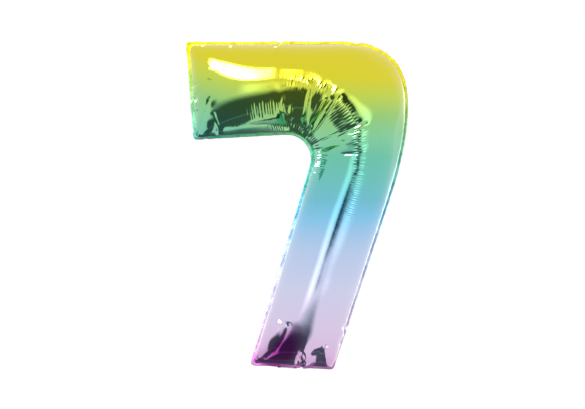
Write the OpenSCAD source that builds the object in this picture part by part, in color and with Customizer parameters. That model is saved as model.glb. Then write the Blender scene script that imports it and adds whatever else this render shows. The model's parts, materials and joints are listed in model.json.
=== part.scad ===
// Foil number balloon: the digit 7, inflated, with a folded filling tail and a self-sealing valve.
// Millimetres. +Z is up, -Y is the front of the digit and +X is to the right seen from the front.
// The origin is the middle of the tail's root, on the lower edge of the foot seam.

/* [Digit outline] */
// Height of the top seam above the tail root
top_z = 848; // [600:10:1000]
// Reach of the bar's upper left corner to the left of the tail root
bar_reach = 264; // [240:2:320]
// Reach of the digit's right side to the right of the tail root
side_reach = 321; // [280:1:340]
// Height of the bar at its left end
bar_h = 256; // [180:2:280]
// Lean of the bar's left end, in degrees from the vertical
bar_end_lean = 4.5; // [0:0.5:10]
// Rise of the bar's underside towards the stem, in degrees
bar_taper = 3.2; // [0:0.1:5]
// Lean of the stem's left side, in degrees from the vertical
stem_lean = 16.7; // [10:0.1:22]
// Lean of the stem's right side, in degrees from the vertical
side_lean = 18.4; // [10:0.1:22]
// Foot seam to the left of the tail root
foot_left = 97; // [80:1:110]
// Foot seam to the right of the tail root
foot_right = 120; // [90:1:130]
// Slope of the foot seam, in degrees, falling to the right
foot_slope = 3.2; // [0:0.1:10]
// Radius of the digit's top right corner
outer_r = 92; // [60:2:140]
// Radius of the long bend from the right side into the stem
side_r = 750; // [300:10:900]
// Radius of the inner corner of the digit
inner_r = 62; // [40:2:90]

/* [Inflated film] */
// Greatest depth, front film to back film, at the elbow
depth = 252; // [200:1:270]
// Length over which the depth grows from the bar's closed end
bar_swell_len = 480; // [300:10:520]
// Length over which the depth grows from the foot's closed end
stem_swell_len = 620; // [400:10:660]
// Length over which a closed end turns from the seam to the swelling film
blunt_len = 30; // [20:1:50]
// Width of the flat seam flange outside the inflated film
flange_w = 7; // [4:0.5:10]
// Thickness of the film solids, which stand for a far thinner laminate
film_t = 0.8; // [0.5:0.1:1.2]
// Thickness of the welded layer between the two flanges
weld_t = 1; // [0.8:0.1:1.4]

/* [Filling tail] */
// Width of the tail
tail_w = 50; // [40:1:60]
// Length of the tail from its fold to its free end
tail_len = 46; // [36:1:60]
// Radius of the fold, to the middle of the tail
fold_r = 2; // [1.8:0.1:3]
// Turn of the tail from hanging straight down to its stored place behind the foot, in degrees
tail_fold = 120; // [90:1:124]
// Radius of the filling hole
fill_hole_r = 5; // [3:0.5:6]
// Filling hole centre below the fold
fill_hole_drop = 26; // [22:1:28]
// Width of each side weld of the tail
side_weld_w = 6; // [4:1:8]

/* [Valve] */
// Width of the valve plies
valve_w = 34; // [28:1:38]
// Length of the valve sleeve inside the balloon
sleeve_len = 140; // [100:5:150]
// Width of each edge weld of the valve
valve_weld_w = 4; // [3:0.5:6]
// Thickness of the gap between the valve plies
channel_t = 0.2; // [0.1:0.05:0.3]

/* [Hidden] */

bar_rings = 12;      // rings along the bar
elbow_rings = 20;    // rings round the elbow
stem_rings = 18;     // rings along the stem
arc_steps = 14;      // facets across the inflated film
bend_steps = 16;     // facets round each rounded corner of the digit
root_gap = 0.3;      // clearance at the root of the tail
sleeve_gap = 1;      // clearance between the seam weld and the swinging sleeve
clear = 0.3;         // clearance between the valve plies and the weld beside them
ink_t = channel_t / 2;
ply_t = (weld_t - channel_t) / 2;
corner_r = 8;        // rounded corners of the tail
mouth_len = 16;      // valve mouth inside the tail
half_weld = weld_t / 2;
tail_t = weld_t + 2 * film_t;

// Corners of the outer and the inner edge as [x, z, radius]
function run_at(rise, lean) = rise * tan(lean);
outer_end = [foot_right, -run_at(foot_right, foot_slope), 0];
inner_end = [-foot_left, run_at(foot_left, foot_slope), 0];
side_break = outer_end.y + (side_reach - foot_right) / tan(side_lean);
outer_path = [[-bar_reach, top_z, 0], [side_reach, top_z, outer_r],
    [side_reach, side_break, side_r], outer_end];
inner_start_x = -bar_reach + run_at(bar_h, bar_end_lean);
inner_start_z = top_z - bar_h;
inner_z = (inner_start_z - run_at(inner_start_x - inner_end.x + run_at(inner_end.y, stem_lean), bar_taper))
    / (1 - tan(stem_lean) * tan(bar_taper));
inner_path = [[inner_start_x, inner_start_z, 0],
    [inner_end.x + run_at(inner_z - inner_end.y, stem_lean), inner_z, inner_r], inner_end];

// Points along a path whose corners are rounded; both paths turn clockwise
function unit(v) = v / norm(v);
function flat(p) = [p.x, p.y];
function way(a, b) = unit(flat(b) - flat(a));
function right_of(v) = [v.y, -v.x];
function bend(a, b, c) =
    let (in = way(a, b), angle = acos(in * way(b, c)), start = flat(b) - in * b.z * tan(angle / 2))
    [for (k = [0 : bend_steps]) let (t = angle * k / bend_steps)
        start + right_of(in) * b.z * (1 - cos(t)) + in * b.z * sin(t)];
function rounded(path) = concat([flat(path[0])],
    [for (i = [1 : len(path) - 2]) each bend(path[i - 1], path[i], path[i + 1])],
    [flat(path[len(path) - 1])]);
function next_step(p, i) = i + 1 < len(p) ? norm(p[i + 1] - p[i]) : 0;
function lengths(p) = [for (i = 0, s = 0; i < len(p); s = s + next_step(p, i), i = i + 1) s];
outer_points = rounded(outer_path);
inner_points = rounded(inner_path);
outer_s = lengths(outer_points);
inner_s = lengths(inner_points);
outer_len = outer_s[len(outer_s) - 1];
inner_len = inner_s[len(inner_s) - 1];
outer_x = [for (i = [0 : len(outer_s) - 1]) [outer_s[i], outer_points[i].x]];
outer_z = [for (i = [0 : len(outer_s) - 1]) [outer_s[i], outer_points[i].y]];
inner_x = [for (i = [0 : len(inner_s) - 1]) [inner_s[i], inner_points[i].x]];
inner_zs = [for (i = [0 : len(inner_s) - 1]) [inner_s[i], inner_points[i].y]];
function on_outer(s) = [lookup(s, outer_x), lookup(s, outer_z)];
function on_inner(s) = [lookup(s, inner_x), lookup(s, inner_zs)];

// The elbow lies between the ribs that leave the two ends of the inner arc square to it
inner_lead = inner_s[1];
inner_tail = inner_s[1 + bend_steps];
outer_lead = inner_points[1].x + bar_reach;
outer_tail = outer_len - (flat(outer_end) - inner_points[1 + bend_steps]) * way(outer_path[2], outer_end);

// Each station is [distance along the outer edge, distance along the inner edge]
function between(a, b, t) = a + (b - a) * t;
stations = concat(
    [[0, 0]],
    [for (i = [0 : bar_rings - 1]) let (t = 1 - cos(90 * i / bar_rings))
        [between(flange_w, outer_lead, t), between(flange_w, inner_lead, t)]],
    [for (i = [0 : elbow_rings - 1]) let (t = i / elbow_rings)
        [between(outer_lead, outer_tail, t), between(inner_lead, inner_tail, t)]],
    [for (i = [0 : stem_rings]) let (t = sin(90 * i / stem_rings))
        [between(outer_tail, outer_len - flange_w, t), between(inner_tail, inner_len - flange_w, t)]],
    [[outer_len, inner_len]]);

// Half depth of the gas space at a station: it swells from both closed ends
function swelling(s, swell_len) =
    sqrt(sin(90 * min(1, (s + blunt_len) / (swell_len + blunt_len)))) * sin(90 * min(1, s / blunt_len));
function from_bar_end(st) = max(0, (st[0] + st[1]) / 2 - flange_w);
function from_foot(st) = max(0, (outer_len - st[0] + inner_len - st[1]) / 2 - flange_w);
function half_depth(st) = (depth / 2 - half_weld - film_t)
    * swelling(from_bar_end(st), bar_swell_len) * swelling(from_foot(st), stem_swell_len);

// One closed loop round a panel at a station: along its outer skin, then back along its inner skin
function swollen(half, swell, k, out) =
    let (angle = 180 * k / arc_steps, n = [swell * cos(angle), half * sin(angle)],
        add = k == 0 || k == arc_steps || norm(n) < flange_w / 10 ? [0, film_t] : unit(n) * film_t)
    [-half * cos(angle) - out * add.x, half_weld + swell * sin(angle) + out * add.y];
function skin(width, swell, out) = concat(
    [[-width / 2, half_weld + out * film_t]],
    [for (k = [0 : arc_steps]) swollen(width / 2 - flange_w, swell, k, out)],
    [[width / 2, half_weld + out * film_t]]);
function reversed(list) = [for (k = [len(list) - 1 : -1 : 0]) list[k]];
function loop(st) =
    let (o = on_outer(st[0]), i = on_inner(st[1]), width = norm(i - o), swell = half_depth(st))
    [for (p = concat(skin(width, swell, 1), reversed(skin(width, swell, 0))))
        let (at = between(o, i, 0.5 + p.x / width)) [at.x, -p.y, at.y]];

// A sheet through closed loops that all have the same number of points: each loop's first half is one
// skin and its second half the other, and both skins are split along the same diagonals
module loft(loops) {
    n = len(loops[0]);
    m = len(loops);
    half = n / 2;
    points = [for (ring = loops) for (p = ring) p];
    sides = [for (r = [0 : m - 2]) for (k = [0 : n - 1])
        let (a = r * n + k, b = r * n + (k + 1) % n)
        each k < half ? [[a, b, b + n], [a, b + n, a + n]] : [[a, b, a + n], [b, b + n, a + n]]];
    caps = [for (k = [0 : half - 2]) let (a = k, b = k + 1, c = n - 1 - k, d = n - 2 - k, e = (m - 1) * n)
        each [[a, c, b], [b, c, d], [e + a, e + b, e + c], [e + b, e + d, e + c]]];
    polyhedron(points = points, faces = concat(sides, caps));
}

module panel() {
    loft([for (st = stations) loop(st)]);
}

module front_panel() {
    color("mediumaquamarine") panel();
}

module back_panel() {
    color("mediumaquamarine") mirror([0, 1, 0]) panel();
}

// The outline of the digit, moved in from its edge
function inset(st, w) = let (o = on_outer(st[0]), i = on_inner(st[1])) o + unit(i - o) * w;
function outset(st, w) = let (o = on_outer(st[0]), i = on_inner(st[1])) i + unit(o - i) * w;
function inner_stations(w) = [for (st = stations)
    [min(max(st[0], w), outer_len - w), min(max(st[1], w), inner_len - w)]];
function outline(w) = let (ring = inner_stations(w))
    concat([for (st = ring) inset(st, w)], [for (st = reversed(ring)) outset(st, w)]);

// Turns a shape drawn in [x, z] into a layer between two depths
module layer(y0, y1) {
    translate([0, y1, 0]) rotate([90, 0, 0]) linear_extrude(height = y1 - y0) children();
}

// The foot's own frame: X runs along the foot seam and Z squares up into the stem
module at_foot() {
    rotate([0, foot_slope, 0]) children();
}

module seam_weld() {
    color("gainsboro") difference() {
        layer(-half_weld, half_weld) difference() {
            polygon(outline(0));
            polygon(outline(flange_w));
        }
        at_foot() translate([-valve_w / 2 - clear, -weld_t, -flange_w])
            cube([valve_w + 2 * clear, 2 * weld_t, 3 * flange_w]);
    }
}

// One flat valve ply from z0 up to z1, on the front (-1) or the back (1) of the channel
module valve_ply(side, z0, z1) {
    y0 = side > 0 ? channel_t / 2 : -channel_t / 2 - ply_t;
    translate([-valve_w / 2, y0, z0]) cube([valve_w, ply_t, z1 - z0]);
}

module valve_throat_front() {
    color("whitesmoke") at_foot() valve_ply(-1, 0, flange_w);
}

module valve_throat_back() {
    color("whitesmoke") at_foot() valve_ply(1, 0, flange_w);
}

// Heat-proof print that keeps the channel open where the seam weld crosses it
module release_ink() {
    color("lightblue") at_foot() translate([-valve_w / 2 + valve_weld_w, -channel_t / 2, 0])
        cube([valve_w - 2 * valve_weld_w, ink_t, flange_w]);
}

sleeve_root = flange_w + sleeve_gap;

module sleeve_front_ply() {
    color("whitesmoke") at_foot() valve_ply(-1, sleeve_root, sleeve_root + sleeve_len);
}

module sleeve_back_ply() {
    color("whitesmoke") at_foot() valve_ply(1, sleeve_root, sleeve_root + sleeve_len);
}

module sleeve_edge_welds() {
    color("gainsboro") at_foot() for (x = [-valve_w / 2, valve_w / 2 - valve_weld_w])
        translate([x, -channel_t / 2, sleeve_root]) cube([valve_weld_w, channel_t, sleeve_len]);
}

// The hinge line of the tail is behind the foot seam, level with its lower edge
module folded() {
    at_foot() translate([0, fold_r, 0]) rotate([tail_fold, 0, 0]) translate([0, -fold_r, 0]) children();
}

module tail_outline(w, length) {
    hull() {
        translate([-w / 2, -length / 2]) square([w, length / 2 - root_gap]);
        for (x = [-1, 1]) translate([x * (w / 2 - corner_r), -length + corner_r])
            circle(r = corner_r, $fn = 32);
    }
}

module tail_front_ply() {
    color("plum") folded() difference() {
        layer(-half_weld - film_t, -half_weld) tail_outline(tail_w, tail_len);
        translate([0, -half_weld + film_t, -fill_hole_drop]) rotate([90, 0, 0])
            cylinder(r = fill_hole_r, h = 3 * film_t, $fn = 64);
    }
}

module tail_back_ply() {
    color("plum") folded() layer(half_weld, half_weld + film_t) tail_outline(tail_w, tail_len);
}

// The welds down both sides and across the free end of the tail leave a pocket for the valve mouth
module tail_side_welds() {
    pocket_w = tail_w - 2 * side_weld_w;
    color("gainsboro") folded() layer(-half_weld, half_weld) difference() {
        tail_outline(tail_w, tail_len);
        translate([-pocket_w / 2, side_weld_w - tail_len]) square([pocket_w, tail_len]);
    }
}

module valve_mouth_front() {
    color("whitesmoke") folded() valve_ply(-1, -mouth_len, -root_gap);
}

module valve_mouth_back() {
    color("whitesmoke") folded() valve_ply(1, -mouth_len, -root_gap);
}

// The bend of the film between the foot seam and the stored tail
module tail_crease() {
    color("plum") at_foot() translate([0, fold_r, 0]) rotate([0, 90, 0]) rotate([0, 0, -90])
        rotate_extrude(angle = tail_fold, $fn = 64)
            translate([fold_r - tail_t / 2, -tail_w / 2]) square([tail_t, tail_w]);
}

front_panel();
back_panel();
seam_weld();
valve_throat_front();
valve_throat_back();
release_ink();
tail_crease();
sleeve_front_ply();
sleeve_back_ply();
sleeve_edge_welds();
tail_front_ply();
tail_back_ply();
tail_side_welds();
valve_mouth_front();
valve_mouth_back();
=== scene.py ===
"""Foil number balloon: the digit 7, inflated, with a folded filling tail and a self-sealing valve.

Metres. +Z is up, -Y is the front of the digit and +X is to the right seen from the front.
"""

import json
import math

import bpy
import numpy as np
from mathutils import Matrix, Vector


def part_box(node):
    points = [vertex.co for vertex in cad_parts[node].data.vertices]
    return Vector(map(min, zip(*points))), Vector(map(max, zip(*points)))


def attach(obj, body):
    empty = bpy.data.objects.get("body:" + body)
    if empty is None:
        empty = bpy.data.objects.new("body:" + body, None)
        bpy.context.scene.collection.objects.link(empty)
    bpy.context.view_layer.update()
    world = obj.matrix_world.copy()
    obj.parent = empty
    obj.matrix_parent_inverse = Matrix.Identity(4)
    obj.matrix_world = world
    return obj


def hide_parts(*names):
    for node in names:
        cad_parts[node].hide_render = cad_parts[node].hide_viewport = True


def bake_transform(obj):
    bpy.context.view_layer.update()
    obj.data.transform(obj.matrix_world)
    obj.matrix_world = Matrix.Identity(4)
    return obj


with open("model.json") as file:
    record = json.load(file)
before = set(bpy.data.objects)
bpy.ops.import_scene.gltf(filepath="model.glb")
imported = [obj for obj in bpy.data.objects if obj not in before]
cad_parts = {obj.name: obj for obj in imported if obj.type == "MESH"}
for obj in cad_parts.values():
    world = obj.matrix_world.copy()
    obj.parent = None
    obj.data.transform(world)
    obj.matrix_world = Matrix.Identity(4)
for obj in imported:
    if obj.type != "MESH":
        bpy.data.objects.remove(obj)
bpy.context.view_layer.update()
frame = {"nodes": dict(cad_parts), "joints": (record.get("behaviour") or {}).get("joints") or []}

# Edges of the inflated digit, clockwise from the bar's left end: corners as (x, z, radius)
OUTER_EDGE = ((-0.264, 0.848, 0), (0.321, 0.848, 0.092), (0.321, 0.5975, 0.75), (0.120, -0.0067, 0))
INNER_EDGE = ((-0.2439, 0.592, 0), (0.0845, 0.6103, 0.062), (-0.097, 0.0054, 0))
# The same edges on the flat cut film, before the gas goes in
FLAT_OUTER = ((-0.345, 0.925, 0), (0.320, 0.890, 0.14), (0.375, 0.620, 0.55), (0.300, -0.050, 0))
FLAT_INNER = ((-0.290, 0.598, 0), (-0.008, 0.548, 0.069), (-0.030, -0.090, 0))
FLAT_TURN = -0.125       # turn from the flat pattern's own frame into the digit's, in radians
TURN_CENTRE = (0.05, 0.45)
FLANGE = 0.007           # width of the welded flange outside the inflated film
# How much deeper or shallower the gas pushes the film than the cloth does, at rows along the digit
DEPTH_GAIN = ((0, 1.25), (0.36, 1.08), (1, 0.99), (1.5, 0.94), (2, 0.95), (2.5, 0.98), (2.7, 1.04),
              (2.8, 1.12), (2.9, 1.30), (3, 1.30))
OVERHANG = 0.003         # how far the film may bulge past its outer weld line
ARC_POINTS = 24          # points round each rounded corner
FRONT, BACK = -1, 1      # the two films' sides along Y

# Rows of film cells along the bar, round the elbow and along the stem, and cells across
COARSE_ROWS = (18, 22, 40)
COARSE_ACROSS = 26
CLOTH_FRAMES = (24, 10)  # frames at each level; each level has twice the rows of the one before
START_LIFT = 0.004       # how far each film starts from the plane of the seam
GAS_PRESSURE = 30
# The film hardly stretches, but gives way when it is squeezed, so that it doesn't crumple coarsely
TENSION, COMPRESSION, SHEAR, BENDING = 80, 1, 1, 0.2
STRETCH_DAMPING, BENDING_DAMPING = 5, 0.1
SEED = 7


def smooth_step(value, low, high):
    """0 below low and 1 above high, or the other way round where low is the greater."""
    t = np.clip((value - low) / (high - low), 0, 1)
    return t * t * (3 - 2 * t)


# ---------------------------------------------------------------- outlines and grids

def rounded(corners):
    """Points along a clockwise path with rounded middle corners, and the numbers of the arcs' ends."""
    points, ends = [np.array(corners[0][:2])], []
    for before, corner, after in zip(corners, corners[1:], corners[2:]):
        a, b, c = (np.array(p[:2]) for p in (before, corner, after))
        along, away = (b - a) / np.linalg.norm(b - a), (c - b) / np.linalg.norm(c - b)
        angle, right = math.acos(along @ away), np.array((along[1], -along[0]))
        start = b - along * corner[2] * math.tan(angle / 2)
        ends.append(len(points))
        for t in np.linspace(0, angle, ARC_POINTS):
            points.append(start + right * corner[2] * (1 - math.cos(t)) + along * corner[2] * math.sin(t))
        ends.append(len(points) - 1)
    points.append(np.array(corners[-1][:2]))
    return np.array(points), ends


def running_length(points):
    """Distance along a line of points, from its first point to each."""
    steps = np.linalg.norm(np.diff(points, axis=0), axis=1)
    return np.concatenate([[0], np.cumsum(steps)])


def sheet_grid(outer_corners, inner_corners, rows, across, margin):
    """A grid over the digit: rows run from the bar's end (0) by the elbow (1 to 2) to the foot (3)."""
    outer, _ = rounded(outer_corners)
    inner, (arc_start, arc_end) = rounded(inner_corners)
    outer_s, inner_s = running_length(outer), running_length(inner)
    first, last = outer[1] - outer[0], outer[-1] - outer[-2]
    lead = (inner[arc_start] - outer[0]) @ first / np.linalg.norm(first)
    tail = outer_s[-1] - (outer[-1] - inner[arc_end]) @ last / np.linalg.norm(last)
    outer_at = np.interp(rows, range(4), (margin, lead, tail, outer_s[-1] - margin))
    inner_stops = (margin, inner_s[arc_start], inner_s[arc_end], inner_s[-1] - margin)
    inner_at = np.interp(rows, range(4), inner_stops)
    far = np.stack([np.interp(outer_at, outer_s, outer[:, k]) for k in (0, 1)], -1)[:, None]
    near = np.stack([np.interp(inner_at, inner_s, inner[:, k]) for k in (0, 1)], -1)[:, None]
    width = np.linalg.norm(far - near, axis=2, keepdims=True)
    share = (margin + across[None, :, None] * (width - 2 * margin)) / width
    return near + (far - near) * share


def coarse_rows(level):
    """Row places along the digit at a level of the simulation."""
    counts = [n * 2 ** level for n in COARSE_ROWS]
    parts = [k + np.arange(n) / n for k, n in enumerate(counts)]
    return np.concatenate(parts + [[3.0]])


def coarse_across(level):
    return np.linspace(0, 1, COARSE_ACROSS * 2 ** level + 1)


def cubic(values, at):
    """Smooth interpolation between the rows of values, at the row numbers in at."""
    padded = np.concatenate([2 * values[:1] - values[1:2], values, 2 * values[-1:] - values[-2:-1]])
    i = np.clip(np.floor(at).astype(int), 0, len(values) - 2)
    f = (at - i).reshape((-1,) + (1,) * (values.ndim - 1))
    a, b, c, d = (padded[i + k] for k in range(4))
    return b + 0.5 * f * (c - a + f * (2 * a - 5 * b + 4 * c - d + f * (3 * (b - c) + d - a)))


def resample(grid, old_rows, old_across, rows, across):
    """A grid's points at other rows and at other places across it."""
    grid = cubic(grid, np.interp(rows, old_rows, range(len(old_rows))))
    turned = grid.swapaxes(0, 1)
    return cubic(turned, np.interp(across, old_across, range(len(old_across)))).swapaxes(0, 1)


def grid_faces(number):
    """Quads between the cells of a grid of vertex numbers."""
    corners = (number[:-1, :-1], number[1:, :-1], number[1:, 1:], number[:-1, 1:])
    return np.stack(corners, -1).reshape(-1, 4)


# ---------------------------------------------------------------- inflating the film

def paired_numbers(n_rows, n_across):
    """Vertex numbers of the front and the back film, which share the points of the weld line."""
    front = np.arange(n_rows * n_across).reshape(n_rows, n_across)
    back = front.copy()
    inner = (n_rows - 2) * (n_across - 2)
    back[1:-1, 1:-1] = front.size + np.arange(inner).reshape(n_rows - 2, n_across - 2)
    return front, back


def flat_shape(rows, across):
    """The cut film, laid flat in the plane of the seam, with its front at -Y."""
    flat = sheet_grid(FLAT_OUTER, FLAT_INNER, rows, across, 0)
    centre = np.array(TURN_CENTRE)
    c, s = math.cos(FLAT_TURN), math.sin(FLAT_TURN)
    turned = (flat - centre) @ np.array(((c, s), (-s, c))) + centre
    return np.stack([turned[..., 0], np.zeros(flat.shape[:2]), turned[..., 1]], -1)


def inflate(start, rest, faces, frames):
    """Blender's cloth under gas pressure: the film may bend and pleat, but hardly stretches."""
    mesh = bpy.data.meshes.new("inflating")
    mesh.from_pydata(start.tolist(), [], faces.tolist())
    film = bpy.data.objects.new("inflating", mesh)
    bpy.context.collection.objects.link(film)
    film.shape_key_add(name="Basis")
    cut = film.shape_key_add(name="cut")
    cut.data.foreach_set("co", rest.astype(np.float32).ravel())
    cut.value = 0
    cloth = film.modifiers.new("cloth", "CLOTH")
    settings = cloth.settings
    settings.rest_shape_key = cut
    settings.quality = 6
    settings.mass = 0.1
    settings.air_damping = 10
    settings.bending_model = "ANGULAR"
    settings.tension_stiffness = TENSION
    settings.compression_stiffness = COMPRESSION
    settings.shear_stiffness = SHEAR
    settings.bending_stiffness = BENDING
    settings.tension_damping = STRETCH_DAMPING
    settings.compression_damping = STRETCH_DAMPING
    settings.shear_damping = STRETCH_DAMPING
    settings.bending_damping = BENDING_DAMPING
    settings.use_pressure = True
    settings.uniform_pressure_force = GAS_PRESSURE
    settings.effector_weights.gravity = 0
    cloth.collision_settings.use_collision = False
    cloth.point_cache.frame_end = frames + 1
    scene = bpy.context.scene
    scene.frame_start, scene.frame_end = 1, frames + 1
    for number in range(1, frames + 1):
        scene.frame_set(number)
    shown = film.evaluated_get(bpy.context.evaluated_depsgraph_get()).data
    points = np.empty(len(start) * 3, np.float32)
    shown.vertices.foreach_get("co", points)
    bpy.data.objects.remove(film)
    bpy.data.meshes.remove(mesh)
    scene.frame_set(1)
    return points.reshape(-1, 3).astype(float)


def inflated_grids():
    """Both films of the inflated digit, as grids of points, with the rows and columns they are at."""
    sides = None
    for level, frames in enumerate(CLOTH_FRAMES):
        rows, across = coarse_rows(level), coarse_across(level)
        front, back = paired_numbers(len(rows), len(across))
        rest_grid = flat_shape(rows, across)
        if sides is None:
            edge = np.minimum(across, 1 - across)[None, :] * np.minimum(rows, 3 - rows)[:, None]
            lift = np.zeros_like(rest_grid)
            lift[..., 1] = START_LIFT * smooth_step(edge, 0, 0.1)
            sides = rest_grid - lift, rest_grid + lift
        else:
            sides = [resample(side, old_rows, old_across, rows, across) for side in sides]
        count = back.max() + 1
        start, rest = np.empty((count, 3)), np.empty((count, 3))
        for number, side in ((back, sides[1]), (front, sides[0])):
            start[number], rest[number] = side, rest_grid
        faces = np.vstack([grid_faces(front), grid_faces(back)[:, ::-1]])
        shape = inflate(start, rest, faces, frames)
        sides = shape[front], shape[back]
        old_rows, old_across = rows, across
    return sides, rows, across


# ---------------------------------------------------------------- fitting to the frame

# How many rows or columns the shift onto the weld line is averaged over, along the sides and at the ends
SIDE_EASING, END_EASING = 2, 3
DEPTH_EASING = 3         # rows that the depth gain is averaged over
# Rows over which the shifts of the two closed ends fade in
BAR_END_ROWS, FOOT_ROWS = (0.5, 0), (2.7, 3)
# Ironing: rows where it fades in, rows where it fades out, and rows averaged over
ELBOW_IRONING = ((1.15, 1.4), (2.1, 1.85), 5)
CREASE_IRONING = ((1.62, 1.80), (2.40, 2.15), 8)
CREASE_IRONED = 0.9      # how much of the crease that closes the elbow is taken out


def softened(line, reach):
    """A line of values, averaged over neighbours within reach rows."""
    kernel = np.exp(-0.5 * (np.arange(-3 * reach, 3 * reach + 1) / reach) ** 2)
    kernel /= kernel.sum()
    padded = np.pad(line, ((3 * reach, 3 * reach), (0, 0)), mode="reflect", reflect_type="odd")
    return np.stack([np.convolve(padded[:, k], kernel, mode="valid") for k in range(line.shape[1])], -1)


def fitted(grid, rows, across):
    """The inflated film, eased onto the digit's weld line; the ripples of its edges stay."""
    target = sheet_grid(OUTER_EDGE, INNER_EDGE, rows, across, FLANGE)
    shift = target - grid[..., [0, 2]]
    near, far = (softened(shift[:, k], SIDE_EASING)[:, None] for k in (0, -1))
    bar_end, foot = (softened(shift[k], END_EASING)[None] for k in (0, -1))
    sides = near + (far - near) * across[None, :, None]
    from_bar_end = smooth_step(rows, *BAR_END_ROWS)[:, None, None]
    from_foot = smooth_step(rows, *FOOT_ROWS)[:, None, None]
    eased = sides + from_bar_end * (bar_end - sides[:1]) + from_foot * (foot - sides[-1:])
    out = grid.copy()
    out[..., [0, 2]] += eased
    out[..., 1] *= softened(np.interp(rows, *zip(*DEPTH_GAIN))[:, None], DEPTH_EASING)
    return ironed(tucked_in(out), rows, across)


def tucked_in(grid):
    """Keeps the film from standing out past its outer weld line in the plane of the seam."""
    flat = grid[..., [0, 2]]
    rib = flat[:, -1:] - flat[:, :1]
    width = np.linalg.norm(rib, axis=2)
    past = np.maximum(((flat - flat[:, :1]) * rib).sum(2) / width - width, 0)
    kept = OVERHANG * np.tanh(past / OVERHANG)
    flat = flat + rib * ((kept - past) / width)[..., None]
    return np.stack([flat[..., 0], grid[..., 1], flat[..., 1]], -1)


def smoothed_rows(grid, rows, ironing, share_across):
    """The grid averaged along its rows, between the rows that ironing gives."""
    fade_in, fade_out, reach = ironing
    smooth = softened(grid.reshape(len(rows), -1), reach).reshape(grid.shape)
    share = (smooth_step(rows, *fade_in) * smooth_step(rows, *fade_out))[:, None] * share_across[None]
    return grid + (smooth - grid) * share[..., None]


def ironed(grid, rows, across):
    """Takes the crumples out of the outer side of the elbow and most of the crease that closes it."""
    outer_side = smooth_step(across, 0.60, 0.80)
    off_the_welds = smooth_step(across, 0, 0.10) * smooth_step(across, 1, 0.85)
    grid = smoothed_rows(grid, rows, ELBOW_IRONING, outer_side)
    return smoothed_rows(grid, rows, CREASE_IRONING, CREASE_IRONED * off_the_welds)


# ---------------------------------------------------------------- folds and pleats of the film

# How fast a fold's depth falls off, and where it ends and is full, in half widths
FOLD_FALL = 1.4
FOLD_EDGE = (3.2, 0.4)
# Folds pressed into the film, as (depth, half width, points along the fold as x, z)
FOLDS = (
    # round the elbow, from the weld line outwards
    (0.006, 0.006, ((0.040, 0.612), (0.047, 0.645), (0.052, 0.680), (0.062, 0.728))),
    (0.005, 0.006, ((0.058, 0.598), (0.080, 0.625), (0.104, 0.655), (0.128, 0.690))),
    (0.0028, 0.0035, ((0.068, 0.580), (0.106, 0.597), (0.149, 0.612), (0.200, 0.630))),
    (0.0009, 0.003, ((0.086, 0.552), (0.143, 0.551), (0.207, 0.552), (0.235, 0.555))),
    (0.003, 0.006, ((0.006, 0.618), (-0.004, 0.645), (-0.014, 0.680))),
    # the puffs of the bar's closed end
    (0.002, 0.004, ((-0.262, 0.794), (-0.236, 0.792), (-0.205, 0.778))),
    (0.0025, 0.004, ((-0.256, 0.736), (-0.246, 0.730), (-0.220, 0.739), (-0.190, 0.740))),
    (0.0025, 0.004, ((-0.250, 0.665), (-0.229, 0.663), (-0.206, 0.675), (-0.197, 0.697))),
    (0.003, 0.005, ((-0.206, 0.670), (-0.218, 0.635), (-0.236, 0.600))),
    (0.0025, 0.005, ((-0.188, 0.655), (-0.177, 0.622), (-0.176, 0.594))),
    (0.002, 0.004, ((-0.226, 0.846), (-0.219, 0.822))),
    (0.002, 0.004, ((-0.151, 0.848), (-0.148, 0.820))),
    # the gathers of the foot
    (0.0022, 0.004, ((-0.052, 0.165), (-0.024, 0.135), (0.004, 0.116))),
    (0.003, 0.005, ((0.004, 0.116), (-0.007, 0.087), (-0.031, 0.049), (-0.058, 0.028), (-0.084, 0.006))),
    (0.004, 0.006, ((0.027, 0.034), (0.027, -0.002))),
    (0.0022, 0.005, ((0.027, 0.022), (0.050, 0.037), (0.070, 0.055), (0.097, 0.066))),
    (0.002, 0.004, ((0.097, 0.066), (0.150, 0.066))),
)
# Swellings and hollows beside the folds:
# (height, half length, half width, middle as x, z, lean from upright)
PUFFS = (
    (0.010, 0.082, 0.040, (-0.062, 0.090), 0.34),
    (-0.004, 0.090, 0.050, (-0.026, 0.052), 0.68),
    (0.007, 0.056, 0.036, (0.116, 0.034), 0.05),
    (-0.006, 0.050, 0.036, (0.062, 0.030), -0.60),
    (0.004, 0.038, 0.050, (-0.226, 0.700), 0.0),
    (0.003, 0.032, 0.045, (-0.230, 0.766), 0.0),
    (0.004, 0.032, 0.040, (-0.222, 0.630), 0.2),
)
PUFF_POWER, HOLLOW_POWER = 1.15, 1.5    # a puff is full almost to its edge, a hollow has soft sides
# Bands of fine pleats:
# (height, pitch, distance of the middle from the inner edge, half width, first row, last row)
PLEAT_BANDS = (
    (0.0016, 0.0065, 0.016, 0.016, 0.80, 2.06),
    (0.0013, 0.0062, 0.058, 0.030, 0.58, 1.08),
    (0.0014, 0.0070, 0.082, 0.026, 1.20, 1.72),
    (0.0020, 0.0064, 0.118, 0.026, 1.02, 2.04),
    (0.0007, 0.0064, 0.124, 0.014, 1.98, 2.24),
)
PLEAT_FADE = 0.12        # rows over which a band of pleats starts and stops
PLEAT_EDGE = (1, 0.25)   # where a pleat ends and is full, as a share of its half width
# How uneven the pleats are: the least and greatest share of the pitch, the height and the reach
PITCH_SPREAD, HEIGHT_SPREAD, REACH_SPREAD = (0.65, 1.35), (0.35, 1), (0.55, 1)
# Small ruffles along the outer edge: height, pitch and reach from the weld line
RUFFLE = (0.0010, 0.021, 0.016)
HELD_ROWS, HELD_ACROSS = 0.02, 0.015    # how near the weld line the film is held flat

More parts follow.
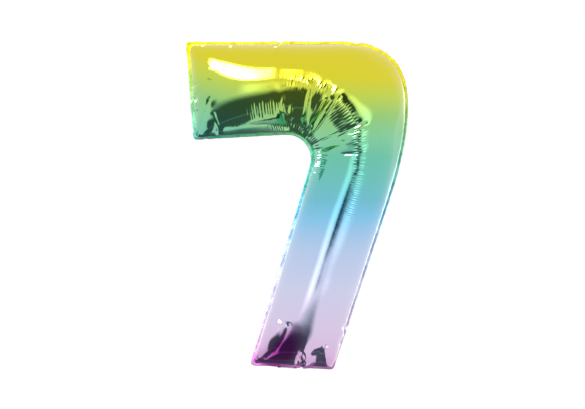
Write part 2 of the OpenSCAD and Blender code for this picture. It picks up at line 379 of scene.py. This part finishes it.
# Rows of the finished film as (from, to, count): close together where it is pleated
FINE_ROWS = ((0, 0.54, 44), (0.54, 1, 92), (1, 2, 190), (2, 2.24, 92), (2.24, 3, 104))
FINE_ACROSS = 96
TAIL_LOW, TAIL_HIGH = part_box("tail_crease")
TAIL_HALF_WIDTH = (TAIL_HIGH.x - TAIL_LOW.x) / 2
ROOT_ROWS = (2.90, 3.0)  # rows over which the foot is laid straight for the tail
ROOT_MARGIN = 0.004      # how far that reaches past the tail's sides in full


def fine_rows():
    parts = [np.linspace(low, high, n, endpoint=False) for low, high, n in FINE_ROWS]
    return np.concatenate(parts + [[FINE_ROWS[-1][1]]])


def distance_to_line(x, z, line):
    """Distance in the plane of the seam from each point to a line of points."""
    best = np.full(x.shape, np.inf)
    for (x0, z0), (x1, z1) in zip(line, line[1:]):
        dx, dz = x1 - x0, z1 - z0
        t = np.clip(((x - x0) * dx + (z - z0) * dz) / (dx * dx + dz * dz), 0, 1)
        best = np.minimum(best, np.hypot(x - x0 - t * dx, z - z0 - t * dz))
    return best


def pleat_wave(run, pitch, rng):
    """Rounded pleats side by side along run, of uneven width and height, and each one's reach."""
    count = int(run.max() / pitch / 0.6) + 3    # enough even if every pleat is a narrow one
    edges = np.concatenate([[0], np.cumsum(pitch * rng.uniform(*PITCH_SPREAD, count))])
    number = np.clip(np.searchsorted(edges, run, side="right") - 1, 0, count - 1)
    within = (run - edges[number]) / (edges[number + 1] - edges[number])
    height, reach = rng.uniform(*HEIGHT_SPREAD, count), rng.uniform(*REACH_SPREAD, count)
    return np.sin(np.pi * within) * height[number], reach[number]


def unit_normals(grid):
    """Unit normals of a grid of points, from its differences along and across."""
    normal = np.cross(np.gradient(grid, axis=0), np.gradient(grid, axis=1))
    return normal / np.maximum(np.linalg.norm(normal, axis=2, keepdims=True), 1e-12)


def swell(grid):
    """How far each point of a film stands out from the plane of the seam: the puffs and hollows."""
    x, z = grid[..., 0], grid[..., 2]
    height = np.zeros(x.shape)
    for top, half_length, half_width, (cx, cz), lean in PUFFS:
        c, s = math.cos(lean), math.sin(lean)
        along, aside = (x - cx) * s + (z - cz) * c, (x - cx) * c - (z - cz) * s
        away = (along / half_length) ** 2 + (aside / half_width) ** 2
        height += top * np.maximum(1 - away, 0) ** (PUFF_POWER if top > 0 else HOLLOW_POWER)
    return height


def relief(grid, rows, rng):
    """How far each point of a film stands out along its normal: folds, pleats and ruffles."""
    x, z = grid[..., 0], grid[..., 2]
    height = np.zeros(x.shape)
    for depth, half, line in FOLDS:
        away = distance_to_line(x, z, line) / half
        height -= depth * np.exp(-FOLD_FALL * away) * smooth_step(away, *FOLD_EDGE)
    flat = grid[..., [0, 2]]
    from_inner = np.linalg.norm(flat - flat[:, :1], axis=2)
    for top, pitch, middle, half, first, last in PLEAT_BANDS:
        column = np.argmin(np.abs(from_inner - middle), axis=1)
        line = grid[np.arange(len(rows)), column]
        line = np.stack([softened(line[:, [k]], 4)[:, 0] for k in range(3)], -1)
        wave, reach = pleat_wave(running_length(line), pitch, rng)
        ends = smooth_step(rows, first, first + PLEAT_FADE) * smooth_step(rows, last, last - PLEAT_FADE)
        away = np.abs(from_inner - middle) / (half * reach[:, None])
        height += top * (wave * ends)[:, None] * smooth_step(away, *PLEAT_EDGE)
    from_outer = np.linalg.norm(flat - flat[:, -1:], axis=2)
    top, pitch, reach = RUFFLE
    wave, share = pleat_wave(running_length(grid[:, -1]), pitch, rng)
    fade = smooth_step(from_outer, reach, 0.0) * smooth_step(from_outer, 0, 0.002)
    return height + top * wave[:, None] * share[:, None] * fade


def rooted(grid, rows, across):
    """Lays the foot's weld line flat and straight where the tail leaves it."""
    place = sheet_grid(OUTER_EDGE, INNER_EDGE, rows[-1:], across, FLANGE)[0]
    shift = np.stack([place[:, 0], np.zeros(len(across)), place[:, 1]], -1) - grid[-1]
    near = smooth_step(np.abs(place[:, 0]), 2 * TAIL_HALF_WIDTH, TAIL_HALF_WIDTH + ROOT_MARGIN)
    return grid + smooth_step(rows, *ROOT_ROWS)[:, None, None] * (shift * near[:, None])[None]


def finished_film(grid, rows, across, side, rng):
    """One film with its folds and pleats; side is FRONT or BACK."""
    fine, fine_across = fine_rows(), np.linspace(0, 1, FINE_ACROSS + 1)
    grid = resample(fitted(grid, rows, across), rows, across, fine, fine_across)
    grid = rooted(grid, fine, fine_across)
    normal = unit_normals(grid)
    normal *= np.sign(normal[len(fine) // 2, FINE_ACROSS // 2, 1]) * side
    held = smooth_step(np.minimum(fine, 3 - fine), 0, HELD_ROWS)[:, None]
    held = held * smooth_step(np.minimum(fine_across, 1 - fine_across), 0, HELD_ACROSS)[None]
    out = grid + normal * (relief(grid, fine, rng) * held)[..., None]
    out[..., 1] += side * swell(grid) * held
    return out


# ---------------------------------------------------------------- pieces

def add_mesh(name, points, faces, material, smooth=True):
    """A mesh object; points is an array of places and faces a list of lists of their numbers."""
    mesh = bpy.data.meshes.new(name)
    mesh.from_pydata(points.tolist(), [], faces)
    mesh.polygons.foreach_set("use_smooth", np.full(len(mesh.polygons), smooth))
    mesh.materials.append(material)
    mesh.update()
    piece = bpy.data.objects.new(name, mesh)
    bpy.context.collection.objects.link(piece)
    return piece


def grid_piece(name, grid, material, flip):
    faces = grid_faces(np.arange(grid.shape[0] * grid.shape[1]).reshape(grid.shape[:2]))
    return add_mesh(name, grid.reshape(-1, 3), (faces[:, ::-1] if flip else faces).tolist(), material)


FLANGE_THICKNESS = 0.0005
# Rings of points in the flange: how far each is outside the weld line
FLANGE_STEPS = (-0.0015, 0, 0.0012, 0.0025, 0.005, FLANGE)
FLANGE_SPACING = 0.003   # distance between its points along the weld line
SCALLOP_PITCH = 0.024    # the flange's short puckers, which also draw its edge in
SCALLOP_DEPTH = 0.12     # how much of its width they draw in
RIPPLE_HEIGHT, RIPPLE_MIDDLE = 0.0012, 0.3
SWING_PITCH = 0.070      # its long waves to the front and back
SWING_HEIGHT, SWING_MIDDLE = 0.003, 0.4
FOOT_LEVEL = 3 * FLANGE  # the weld line below this is the foot's
CALM_REACH = 1.4         # how far the flange is calm on either side, in half widths of the tail
VALVE_ROOM = 0.0002      # how far the flange stands off the valve plies it is welded round
VALVE_MARGIN = (0.005, 0.001)    # how far past the plies' sides that starts and is full
VALVE_TAPER = 0.0012     # how far from the weld line it is full
BEND_STEPS = 17          # points round the tail's bend
BEND_STATIONS = 41       # sections along it
BEND_THICKNESS = 0.0012


def valve_bulge(loop, in_foot):
    """How much further out each ring of the flange lies on either side of the valve plies."""
    low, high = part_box("valve_throat_front")
    past = np.abs(loop[:, 0] - (low.x + high.x) / 2) - (high.x - low.x) / 2
    over_valve = smooth_step(past, *VALVE_MARGIN) * in_foot
    extra = -low.y + VALVE_ROOM - FLANGE_THICKNESS / 2
    return over_valve[:, None] * extra * smooth_step(np.array(FLANGE_STEPS), 0, VALVE_TAPER)[None]


def seam_flange(front, back, material, rng):
    """The two films welded flat outside the gas space, all round, rippled where the edge puckers.

    It is calm at the root of the tail, and thicker where it is welded round the valve.
    """
    middle = (front + back) / 2
    loop = np.concatenate([middle[:, -1], middle[-1, -2::-1], middle[-2::-1, 0], middle[0, 1:-1]])
    closed = np.vstack([loop, loop[:1]])
    run = running_length(closed)
    count = int(run[-1] / FLANGE_SPACING)
    at = np.arange(count) * run[-1] / count
    loop = np.stack([np.interp(at, run, closed[:, k]) for k in range(3)], -1)
    ahead = softened(np.roll(loop, -2, 0) - np.roll(loop, 2, 0), 2)
    outward = np.stack([-ahead[:, 2], ahead[:, 0]], -1)
    outward /= np.linalg.norm(outward, axis=1, keepdims=True)
    scallop, share = pleat_wave(at, SCALLOP_PITCH, rng)
    swing, _ = pleat_wave(at, SWING_PITCH, rng)
    in_foot = loop[:, 2] < FOOT_LEVEL
    calm = in_foot & (np.abs(loop[:, 0]) < CALM_REACH * TAIL_HALF_WIDTH)
    ripple = (scallop * share - RIPPLE_MIDDLE) * RIPPLE_HEIGHT
    wave = ripple + (swing - SWING_MIDDLE) * SWING_HEIGHT
    wave, scallop = np.where(calm, 0.0, wave), np.where(calm, 0.0, scallop)
    rings = []
    for step in FLANGE_STEPS:
        out = step * (1 - SCALLOP_DEPTH * scallop) if step > 0 else np.full(count, step)
        ring = loop.copy()
        ring[:, [0, 2]] += outward * out[:, None]
        ring[:, 1] += wave * max(step, 0) / FLANGE
        rings.append(ring)
    middle = np.stack(rings, 1)
    half = np.zeros(middle.shape)
    half[..., 1] = FLANGE_THICKNESS / 2 + valve_bulge(loop, in_foot)
    section = np.concatenate([middle - half, (middle + half)[:, ::-1]], 1)
    n = section.shape[1]
    number = np.arange(count * n).reshape(count, n)
    number = np.concatenate([number, number[:1]])
    number = np.concatenate([number, number[:, :1]], axis=1)
    return add_mesh("seam_flange", section.reshape(-1, 3), grid_faces(number).tolist(), material)


def tail_bend(material):
    """The film's bend at the root of the tail: a thin curved strip round the hinge line."""
    joint = next(j for j in frame["joints"] if j["name"] == "tail_fold")
    centre, axis = np.array(joint["pos_m"]), -np.array(joint["axis"])
    turn = np.radians(np.linspace(0, joint["range_deg"][1], BEND_STEPS))
    down = np.cross(axis, (0, 1, 0))
    around = np.outer(-np.cos(turn), (0, 1, 0)) + np.outer(np.sin(turn), down)
    outside, inside = centre[1] + BEND_THICKNESS / 2, centre[1] - BEND_THICKNESS / 2
    section = np.concatenate([outside * around, inside * around[::-1]])
    places = np.linspace(-TAIL_HALF_WIDTH, TAIL_HALF_WIDTH, BEND_STATIONS)
    points = centre + places[:, None, None] * axis + section[None]
    number = np.arange(points.size // 3).reshape(len(places), len(section))
    faces = grid_faces(np.concatenate([number, number[:, :1]], axis=1)).tolist()
    faces += [number[0].tolist(), number[-1, ::-1].tolist()]
    piece = add_mesh("tail_bend", points.reshape(-1, 3), faces, material, smooth=False)
    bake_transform(piece)
    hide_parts("tail_crease")


# ---------------------------------------------------------------- materials

class Nodes:
    """Short calls for building a node tree."""

    def __init__(self, tree):
        self.tree = tree

    def add(self, kind, **settings):
        node = self.tree.nodes.new(kind)
        for key, value in settings.items():
            setattr(node, key, value)
        return node

    def put(self, socket, value):
        if isinstance(value, bpy.types.NodeSocket):
            self.tree.links.new(value, socket)
        else:
            socket.default_value = value

    def math(self, operation, *values):
        node = self.add("ShaderNodeMath", operation=operation)
        for socket, value in zip(node.inputs, values):
            self.put(socket, value)
        return node.outputs[0]

    def vector(self, operation, *values):
        node = self.add("ShaderNodeVectorMath", operation=operation)
        for socket, value in zip(node.inputs, values):
            self.put(socket, value)
        return node

    def mix(self, share, first, second, kind="RGBA"):
        node = self.add("ShaderNodeMix", data_type=kind)
        for name, value in (("Factor", share), ("A", first), ("B", second)):
            self.put(node.inputs[name], value)
        return node.outputs["Result"]

    def smooth(self, value, low, high):
        node = self.add("ShaderNodeMapRange", interpolation_type="SMOOTHSTEP")
        for name, part in (("Value", value), ("From Min", low), ("From Max", high)):
            self.put(node.inputs[name], part)
        return node.outputs[0]

    def noise(self, where, scale, detail=3.0):
        node = self.add("ShaderNodeTexNoise")
        self.put(node.inputs["Vector"], where)
        node.inputs["Scale"].default_value = scale
        node.inputs["Detail"].default_value = detail
        return node.outputs["Fac"]

    def ramp(self, value, stops):
        node = self.add("ShaderNodeValToRGB")
        elements = node.color_ramp.elements
        elements.remove(elements[-1])
        elements[0].position, elements[0].color = stops[0][0], (*linear(stops[0][1]), 1)
        for place, colour in stops[1:]:
            elements.new(place).color = (*linear(colour), 1)
        self.put(node.inputs[0], value)
        return node.outputs[0]

    def bump(self, height, strength, distance):
        node = self.add("ShaderNodeBump")
        self.put(node.inputs["Height"], height)
        node.inputs["Strength"].default_value = strength
        node.inputs["Distance"].default_value = distance
        return node.outputs[0]


def linear(colour):
    """Linear values of a colour given as red, green and blue from 0 to 255."""
    shares = (c / 255 for c in colour)
    return tuple(c / 12.92 if c <= 0.04045 else ((c + 0.055) / 1.055) ** 2.4 for c in shares)


# The print's colours from the foot (0) to the top (1)
PRINT_STOPS = (
    (0.00, (206, 132, 202)), (0.05, (216, 184, 222)), (0.12, (215, 197, 228)), (0.24, (203, 205, 233)),
    (0.36, (180, 201, 233)), (0.42, (152, 197, 232)), (0.46, (126, 195, 230)), (0.51, (108, 188, 206)),
    (0.57, (105, 192, 186)), (0.64, (104, 193, 166)), (0.70, (128, 202, 152)), (0.76, (148, 202, 116)),
    (0.82, (190, 211, 72)), (0.88, (218, 208, 26)), (1.0, (221, 204, 20)),
)
PRINT_HEIGHT = 0.85
PRINT_TILT = 0.28        # how much lower each colour lies towards the left end of the bar
# Painted shade: a dark purple patch laid into the print's colour over the foot's hollow. Where it is, its
# lean from upright in radians, its half size across and along, and its colour
FOOT_SHADE_PLACE = (-0.012, 0.0, 0.046)
FOOT_SHADE_LEAN = 0.64
FOOT_SHADE_SIZE = (0.052, 1.0, 0.105)
FOOT_SHADE_EDGE = (1.0, 0.3)  # where it starts and is full, as a share of that size
FOOT_SHADE_COLOUR = (172, 52, 162)


def new_material(name):
    material = bpy.data.materials.new(name)
    material.use_nodes = True
    return material, Nodes(material.node_tree), material.node_tree.nodes["Principled BSDF"]


def painted_foot_shade(nodes, where):
    """1 in the middle of the painted shade on the foot's hollow, 0 outside it."""
    offset = nodes.vector("SUBTRACT", where, FOOT_SHADE_PLACE).outputs["Vector"]
    upright = nodes.add("ShaderNodeVectorRotate", rotation_type="Y_AXIS")
    nodes.put(upright.inputs["Vector"], offset)
    upright.inputs["Angle"].default_value = -FOOT_SHADE_LEAN
    share = nodes.vector("DIVIDE", upright.outputs["Vector"], FOOT_SHADE_SIZE).outputs["Vector"]
    return nodes.smooth(nodes.vector("LENGTH", share).outputs["Value"], *FOOT_SHADE_EDGE)


def print_and_painted_shade(nodes):
    """The rainbow print, which follows the height on the digit, with painted shade in dark purple on the
    foot's hollow.
    """
    where = nodes.add("ShaderNodeTexCoord").outputs["Object"]
    parts = nodes.add("ShaderNodeSeparateXYZ")
    nodes.put(parts.inputs[0], where)
    cloudy = nodes.math("MULTIPLY", nodes.math("SUBTRACT", nodes.noise(where, 9.0), 0.5), 0.018)
    left = nodes.math("MULTIPLY", nodes.math("MINIMUM", parts.outputs["X"], 0.0), PRINT_TILT)
    level = nodes.math("DIVIDE", nodes.math("ADD", parts.outputs["Z"], left), PRINT_HEIGHT)
    rainbow = nodes.ramp(nodes.math("ADD", level, cloudy), PRINT_STOPS)
    # the painted shade of the foot's hollow is mixed into the print here
    return where, nodes.mix(painted_foot_shade(nodes, where), rainbow, (*linear(FOOT_SHADE_COLOUR), 1))


def film_material():
    """Metallised film under a clear printed layer, with faint creases from handling."""
    material, nodes, shader = new_material("printed_film")
    # the base colour is the print with the painted shade on the foot's hollow
    where, colour = print_and_painted_shade(nodes)
    nodes.put(shader.inputs["Base Color"], colour)
    shader.inputs["Metallic"].default_value = 1.0
    shader.inputs["Coat Weight"].default_value = 0.6
    shader.inputs["Coat Roughness"].default_value = 0.06
    smudge = nodes.smooth(nodes.noise(where, 14.0, 4.0), 0.35, 0.75)
    nodes.put(shader.inputs["Roughness"], nodes.math("MULTIPLY_ADD", smudge, 0.04, 0.05))
    wrinkle = nodes.math("MULTIPLY_ADD", nodes.noise(where, 220.0), 0.15, nodes.noise(where, 45.0))
    nodes.put(shader.inputs["Normal"], nodes.bump(wrinkle, 0.07, 0.002))
    return material


def flange_material():
    """The welded flange: the same print with its painted shade at the foot, pressed with the fine cross
    ribs of the sealing bar.
    """
    material, nodes, shader = new_material("welded_film")
    # the base colour is the print with the painted shade on the foot's hollow
    where, colour = print_and_painted_shade(nodes)
    nodes.put(shader.inputs["Base Color"], colour)
    shader.inputs["Metallic"].default_value = 1.0
    shader.inputs["Coat Weight"].default_value = 0.2
    rough = nodes.math("MULTIPLY_ADD", nodes.noise(where, 60.0), 0.15, 0.40)
    nodes.put(shader.inputs["Roughness"], rough)
    ribs = nodes.add("ShaderNodeTexWave", wave_type="BANDS", bands_direction="DIAGONAL")
    nodes.put(ribs.inputs["Vector"], where)
    ribs.inputs["Scale"].default_value = 160.0
    ribs.inputs["Distortion"].default_value = 1.0
    nodes.put(shader.inputs["Normal"], nodes.bump(ribs.outputs["Fac"], 0.05, 0.0003))
    return material


def valve_material():
    """Milky polyethylene film of the valve."""
    material, nodes, shader = new_material("valve_film")
    where = nodes.add("ShaderNodeTexCoord").outputs["Object"]
    haze = nodes.noise(where, 80.0, 4.0)
    milk = nodes.ramp(haze, ((0.3, (222, 226, 228)), (0.7, (244, 246, 246))))
    nodes.put(shader.inputs["Base Color"], milk)
    nodes.put(shader.inputs["Roughness"], nodes.math("MULTIPLY_ADD", haze, 0.2, 0.25))
    nodes.put(shader.inputs["Normal"], nodes.bump(nodes.noise(where, 160.0), 0.2, 0.001))
    return material


def ink_material():
    """Matte heat-proof print with the speckle of a rotary press."""
    material, nodes, shader = new_material("release_ink")
    where = nodes.add("ShaderNodeTexCoord").outputs["Object"]
    speckle = nodes.noise(where, 900.0, 2.0)
    ink = nodes.ramp(speckle, ((0.3, (120, 160, 196)), (0.7, (160, 196, 222))))
    nodes.put(shader.inputs["Base Color"], ink)
    shader.inputs["Roughness"].default_value = 0.8
    nodes.put(shader.inputs["Normal"], nodes.bump(speckle, 0.1, 0.0002))
    return material


def floor_material():
    """A pale studio floor that fades away at its rim."""
    material, nodes, shader = new_material("studio_floor")
    where = nodes.add("ShaderNodeTexCoord").outputs["Object"]
    grain = nodes.noise(where, 30.0)
    paint = nodes.ramp(grain, ((0.3, (246, 246, 246)), (0.7, (250, 250, 250))))
    nodes.put(shader.inputs["Base Color"], paint)
    shader.inputs["Roughness"].default_value = 0.6
    from_middle = nodes.vector("LENGTH", where).outputs["Value"]
    nodes.put(shader.inputs["Alpha"], nodes.smooth(from_middle, FLOOR_RADIUS, FLOOR_SOLID * FLOOR_RADIUS))
    return material


# ---------------------------------------------------------------- studio

FLOOR_LEVEL = -0.32
FLOOR_RADIUS = 3.0
FLOOR_SOLID = 0.4        # the share of its radius inside which it doesn't fade
FLOOR_TURNS, FLOOR_RINGS = 96, 12
CAMERA_DISTANCE = 3.5
CAMERA_TARGET = (0.014, 0.0, 0.424)
FRAME_WIDTH = 1.5245     # width of the view at the object
SENSOR = 36.0
WHITE = (1, 1, 1, 1)
SCREEN_COLOUR = (0.62, 0.88, 1.0, 1)    # the dark screens are slightly blue
# Dark screens before and behind the balloon: left and right turn, bottom and top height, soft edges to
# the sides and up, all in radians, then how much light each takes
SCREENS = (
    (-1.0, 0.12, -1.15, -0.26, 0.14, 0.14, 0.87),
    (-0.13, 0.12, -0.06, 0.42, 0.05, 0.06, 0.93),
    (-3.40, -0.95, -1.70, -1.05, 0.20, 0.10, 0.86),
)
# Soft boxes in the same form, with their strength
SOFT_BOXES = (
    (-0.80, -0.25, 0.36, 0.78, 0.08, 0.06, 18.0),
    (0.22, 0.62, -0.14, 0.22, 0.16, 0.12, 1.0),
    (-0.40, -0.20, -0.12, 0.18, 0.12, 0.10, 0.7),
)


def studio_light():
    """A white room with dark screens and soft boxes in it; the camera itself sees plain white."""
    world = bpy.data.worlds.new("studio")
    bpy.context.scene.world = world
    world.use_nodes = True
    nodes = Nodes(world.node_tree)
    background = world.node_tree.nodes["Background"]
    background.inputs["Color"].default_value = WHITE
    parts = nodes.add("ShaderNodeSeparateXYZ")
    nodes.put(parts.inputs[0], nodes.add("ShaderNodeTexCoord").outputs["Generated"])
    x, y, z = parts.outputs
    front = nodes.math("ARCTAN2", x, nodes.math("MULTIPLY", y, -1.0))
    behind = nodes.math("ARCTAN2", x, y)
    up = nodes.math("ARCSINE", z)

    def patch(turn, left, right, bottom, top, edge, rise_edge):
        """1 inside a patch of the room between two turns and two heights, in radians."""
        rise = nodes.math("MULTIPLY", nodes.smooth(up, bottom - rise_edge, bottom + rise_edge),
                          nodes.smooth(up, top + rise_edge, top - rise_edge))
        span = nodes.math("MULTIPLY", nodes.smooth(turn, left - edge, left + edge),
                          nodes.smooth(turn, right + edge, right - edge))
        return nodes.math("MULTIPLY", rise, span)

    dark = 0.0
    for turn in (front, behind):
        for left, right, bottom, top, edge, rise_edge, depth in SCREENS:
            shade = nodes.math("MULTIPLY", patch(turn, left, right, bottom, top, edge, rise_edge), depth)
            dark = nodes.math("MAXIMUM", dark, shade)
    lit = nodes.math("SUBTRACT", 1.0, dark)
    for turn in (front, behind):
        for left, right, bottom, top, edge, rise_edge, strength in SOFT_BOXES:
            box = nodes.math("MULTIPLY", patch(turn, left, right, bottom, top, edge, rise_edge), strength)
            lit = nodes.math("ADD", lit, box)
    seen = nodes.add("ShaderNodeLightPath").outputs["Is Camera Ray"]
    nodes.put(background.inputs["Strength"], nodes.mix(seen, lit, 1.0, kind="FLOAT"))
    nodes.put(background.inputs["Color"], nodes.mix(seen, nodes.mix(dark, WHITE, SCREEN_COLOUR), WHITE))
    bpy.context.scene.view_settings.view_transform = "Standard"


def studio_floor():
    """A round floor, which doesn't show in the balloon's reflections."""
    turns = np.linspace(0, 2 * math.pi, FLOOR_TURNS, endpoint=False)
    rings = np.linspace(0.05, 1, FLOOR_RINGS) * FLOOR_RADIUS
    points = np.array([(r * math.cos(t), r * math.sin(t), FLOOR_LEVEL) for r in rings for t in turns])
    number = np.arange(len(points)).reshape(len(rings), len(turns))
    number = np.concatenate([number, number[:, :1]], axis=1)
    faces = grid_faces(number).tolist() + [number[0, :-1].tolist()]
    floor = add_mesh("studio_floor", points, faces, floor_material(), smooth=False)
    floor.visible_glossy = False


def add_camera():
    """The camera, straight in front of the balloon."""
    data = bpy.data.cameras.new("camera")
    data.sensor_width = SENSOR
    data.lens = SENSOR * CAMERA_DISTANCE / FRAME_WIDTH
    camera = bpy.data.objects.new("camera", data)
    bpy.context.collection.objects.link(camera)
    camera.location = Vector(CAMERA_TARGET) - Vector((0, CAMERA_DISTANCE, 0))
    camera.rotation_euler = (math.pi / 2, 0, 0)
    bpy.context.scene.camera = camera


# ---------------------------------------------------------------- the balloon

FILM_NODES = ("tail_front_ply", "tail_back_ply", "tail_side_welds")
VALVE_NODES = ("valve_throat_front", "valve_throat_back", "sleeve_front_ply", "sleeve_back_ply",
               "sleeve_edge_welds", "valve_mouth_front", "valve_mouth_back")


def dress(names, material):
    """Gives CAD nodes whose shape is right their material."""
    for name in names:
        node = frame["nodes"][name]
        node.data.materials.clear()
        node.data.materials.append(material)


def build():
    """The films, the flange and the tail's bend are made here; the small plies are the CAD's own."""
    film, flange, valve = film_material(), flange_material(), valve_material()
    (front, back), rows, across = inflated_grids()
    rng = np.random.default_rng(SEED)
    front = finished_film(front, rows, across, FRONT, rng)
    back = finished_film(back, rows, across, BACK, rng)
    pieces = (
        (grid_piece("front_film", front, film, False), "film", "front_panel"),
        (grid_piece("back_film", back, film, True), "film", "back_panel"),
        (seam_flange(front, back, flange, rng), "seam", "seam_weld"),
    )
    for piece, slot, node in pieces:
        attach(piece, "balloon")
        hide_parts(node)
    tail_bend(film)
    dress(FILM_NODES, film)
    dress(VALVE_NODES, valve)
    dress(("release_ink",), ink_material())


add_camera()
studio_light()
studio_floor()
build()
